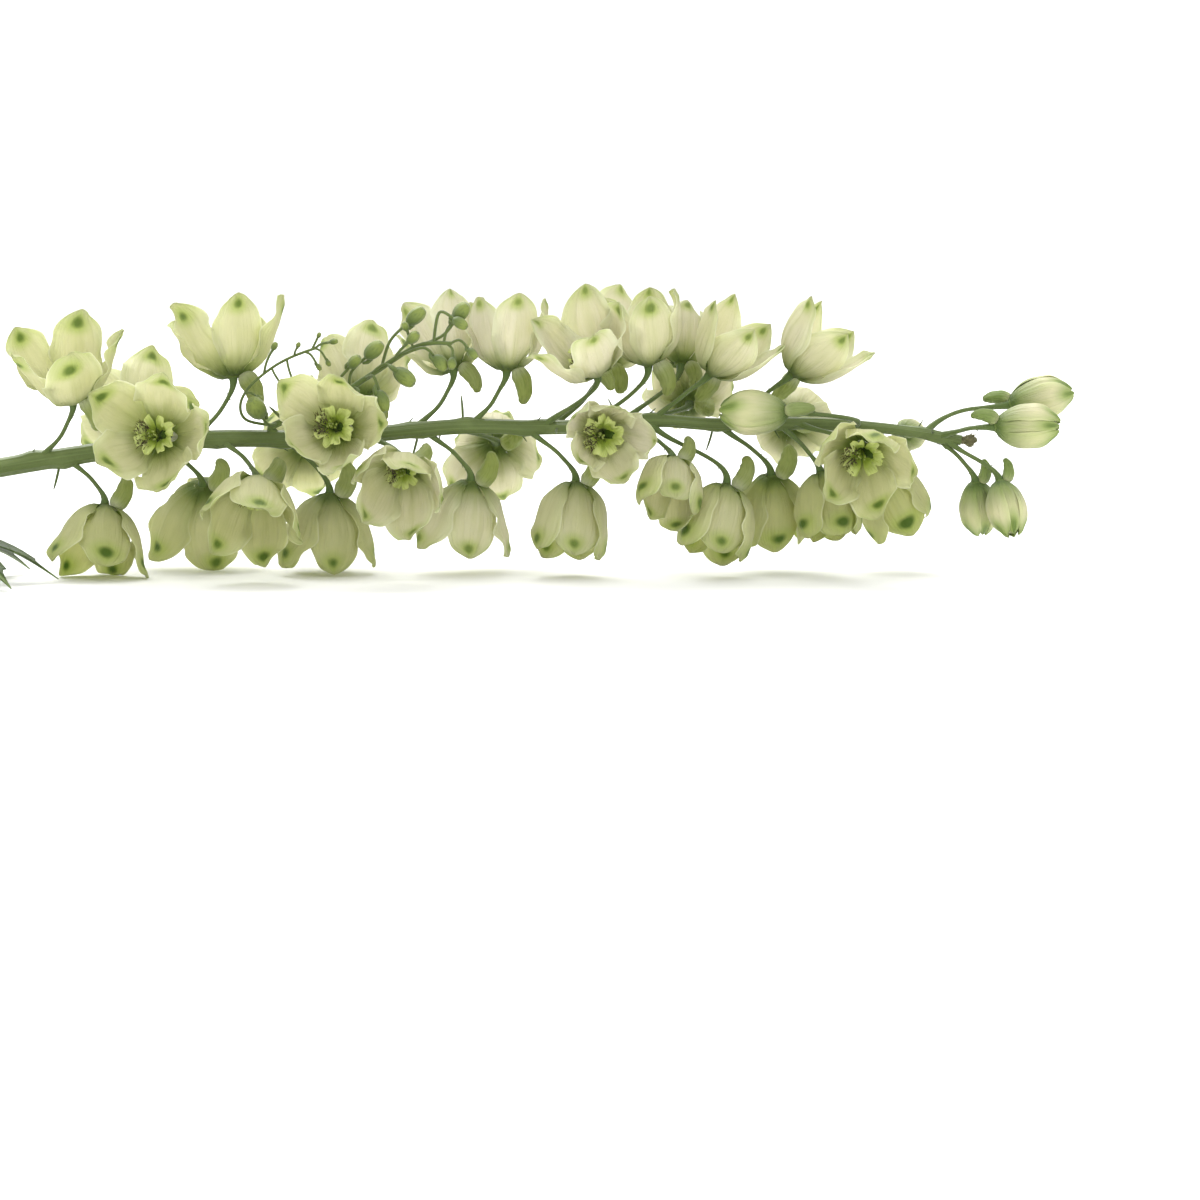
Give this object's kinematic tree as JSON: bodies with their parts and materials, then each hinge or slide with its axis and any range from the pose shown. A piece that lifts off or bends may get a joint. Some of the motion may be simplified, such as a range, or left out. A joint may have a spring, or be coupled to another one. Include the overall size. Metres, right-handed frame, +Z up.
{
  "type": "delphinium flower spike",
  "caption": "Cut spike of white-green delphinium flowers and buds on a green stem with a side shoot and leaves, lying on its side for still lifes and arrangements.",
  "frame": {"origin": "middle of the object's base, on the surface it lies on", "axes": "+X along the spike towards its tip, +Z up"},
  "size_m": [0.5284, 0.1534, 0.0972],
  "materials": {
    "sepal": "soft matt, thin and lit through",
    "bud": "soft matt with green ribs",
    "eye": "soft matt, ruffled",
    "stem": "satin green with fine grooves",
    "shoot": "satin green",
    "leaf": "satin dark green with veins",
    "dried": "dry and matt"
  },
  "bodies": {
    "root": {"bloom_01": "sepal", "bloom_02": "sepal", "bloom_03": "sepal", "bloom_04": "sepal", "bloom_05": "sepal", "bloom_06": "sepal", "bloom_07": "sepal", "bloom_08": "sepal", "bloom_09": "sepal", "bloom_10": "sepal", "bloom_11": "sepal", "bloom_12": "sepal", "bloom_13": "sepal", "bloom_14": "sepal", "bloom_15": "sepal", "bloom_16": "sepal", "bloom_17": "sepal", "bloom_18": "sepal", "bloom_19": "sepal", "bloom_20": "sepal", "bloom_21": "sepal", "bloom_22": "sepal", "bloom_23": "sepal", "bloom_24": "sepal", "bloom_25": "sepal", "bloom_26": "sepal", "bloom_27": "sepal", "bloom_28": "sepal", "bloom_29": "sepal", "bloom_30": "sepal", "bloom_31": "sepal", "bloom_32": "sepal", "bud_01": "bud", "bud_02": "bud", "bud_03": "bud", "bud_04": "bud", "bud_05": "bud", "bud_06": "bud", "eye_01": "eye", "eye_02": "eye", "eye_03": "eye", "eye_04": "eye", "eye_05": "eye", "eye_06": "eye", "eye_08": "eye", "eye_09": "eye", "eye_10": "eye", "eye_11": "eye", "eye_13": "eye", "eye_15": "eye", "eye_20": "eye", "eye_22": "eye", "eye_23": "eye", "eye_29": "eye", "dried_tip": "dried", "leaf_1": "leaf", "leaf_2": "leaf", "side_shoot": "shoot", "stem": "stem"}
  },
  "joints": []
}
